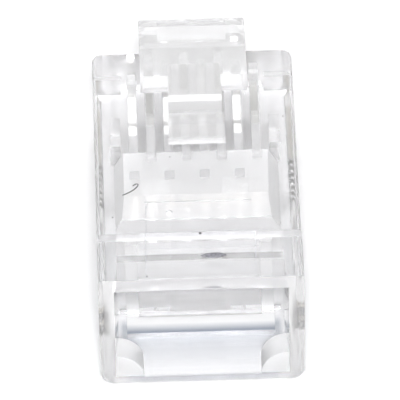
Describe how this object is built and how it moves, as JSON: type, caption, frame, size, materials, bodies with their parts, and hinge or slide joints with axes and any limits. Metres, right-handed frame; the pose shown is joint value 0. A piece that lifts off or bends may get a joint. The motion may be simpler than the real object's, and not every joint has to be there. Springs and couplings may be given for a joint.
{
  "type": "rj45 modular plug",
  "caption": "Clear modular plug before crimping: moulded housing with a sprung latch, jacket clamp bar, staggered wire channels and contact blades.",
  "frame": {"origin": "middle of the plug's box, on its lowest face, which is the contact side", "axes": "+Y towards the nose that enters the jack, +Z towards the latch, X across the row of contacts"},
  "size_m": [0.0116, 0.0214, 0.0125],
  "materials": {
    "clear_housing": "clear, glossy, moulded polycarbonate",
    "clear_latch": "clear, glossy, moulded polycarbonate",
    "clear_clamp": "clear, glossy, moulded polycarbonate",
    "blade_metal": "nickel-plated copper alloy with a thin gold flash on the mating edge"
  },
  "bodies": {
    "housing": {"housing": "clear_housing"},
    "latch": {"latch": "clear_latch"},
    "jacket_clamp": {"jacket_clamp": "clear_clamp"},
    "contacts": {"contact_1": "blade_metal", "contact_2": "blade_metal", "contact_3": "blade_metal", "contact_4": "blade_metal", "contact_5": "blade_metal", "contact_6": "blade_metal", "contact_7": "blade_metal", "contact_8": "blade_metal"}
  },
  "joints": [
    {"name": "latch_flex", "type": "hinge", "parent": "housing", "child": "latch", "pos_m": [0, 0.01033, 0.0073], "axis": [1, 0, 0], "range_deg": [0, 14], "stiffness_Nm_per_rad": 0.01},
    {"name": "clamp_press", "type": "hinge", "parent": "housing", "child": "jacket_clamp", "pos_m": [0, -0.00535, 0.00053], "axis": [1, 0, 0], "range_deg": [0, 35]},
    {"name": "contact_crimp", "type": "slide", "parent": "housing", "child": "contacts", "axis": [0, 0, 1], "range_m": [0, 0.0006]}
  ]
}
